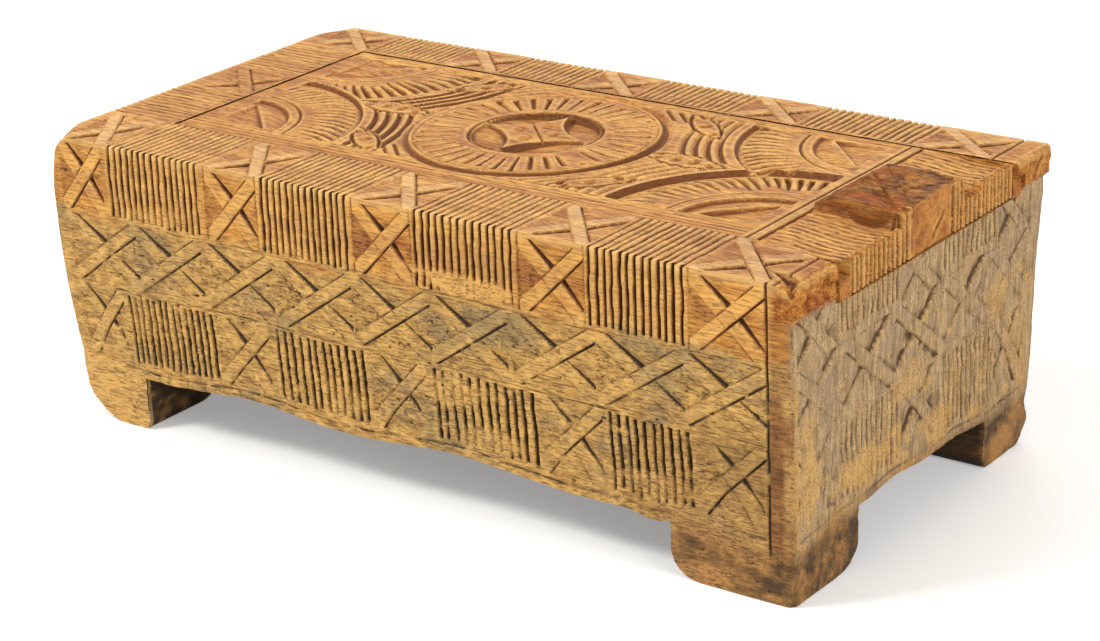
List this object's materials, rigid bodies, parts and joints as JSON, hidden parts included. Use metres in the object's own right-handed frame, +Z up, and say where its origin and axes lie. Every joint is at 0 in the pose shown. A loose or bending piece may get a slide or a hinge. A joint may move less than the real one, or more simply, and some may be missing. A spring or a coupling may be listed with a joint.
{
  "type": "wooden puzzle box",
  "caption": "Low oblong chip-carved wooden box on block feet, with a board lid that slides out of one end and hidden sliding pins that lock it.",
  "frame": {"origin": "centre of the footprint at the undersides of the feet", "axes": "+X along the box, the way the lid slides out; +Y from the long front face to the back; +Z up"},
  "size_m": [0.245, 0.128, 0.0875],
  "materials": {
    "block_wood": "worn, carved",
    "lid_wood": "worn, carved",
    "pin_wood": "turned, plain",
    "plug_wood": "plain"
  },
  "bodies": {
    "block": {"box_body": "block_wood", "hole_plug": "plug_wood"},
    "lid": {"lid": "lid_wood"},
    "front_pin": {"front_pin": "pin_wood"},
    "back_pin": {"back_pin": "pin_wood"}
  },
  "joints": [
    {"name": "lid_slide", "type": "slide", "parent": "block", "child": "lid", "axis": [1, 0, 0], "range_m": [0, 0.22]},
    {"name": "front_pin_slide", "type": "slide", "parent": "block", "child": "front_pin", "axis": [0, 1, 0], "range_m": [0, 0.004]},
    {"name": "back_pin_slide", "type": "slide", "parent": "block", "child": "back_pin", "axis": [0, -1, 0], "range_m": [0, 0.004]}
  ]
}
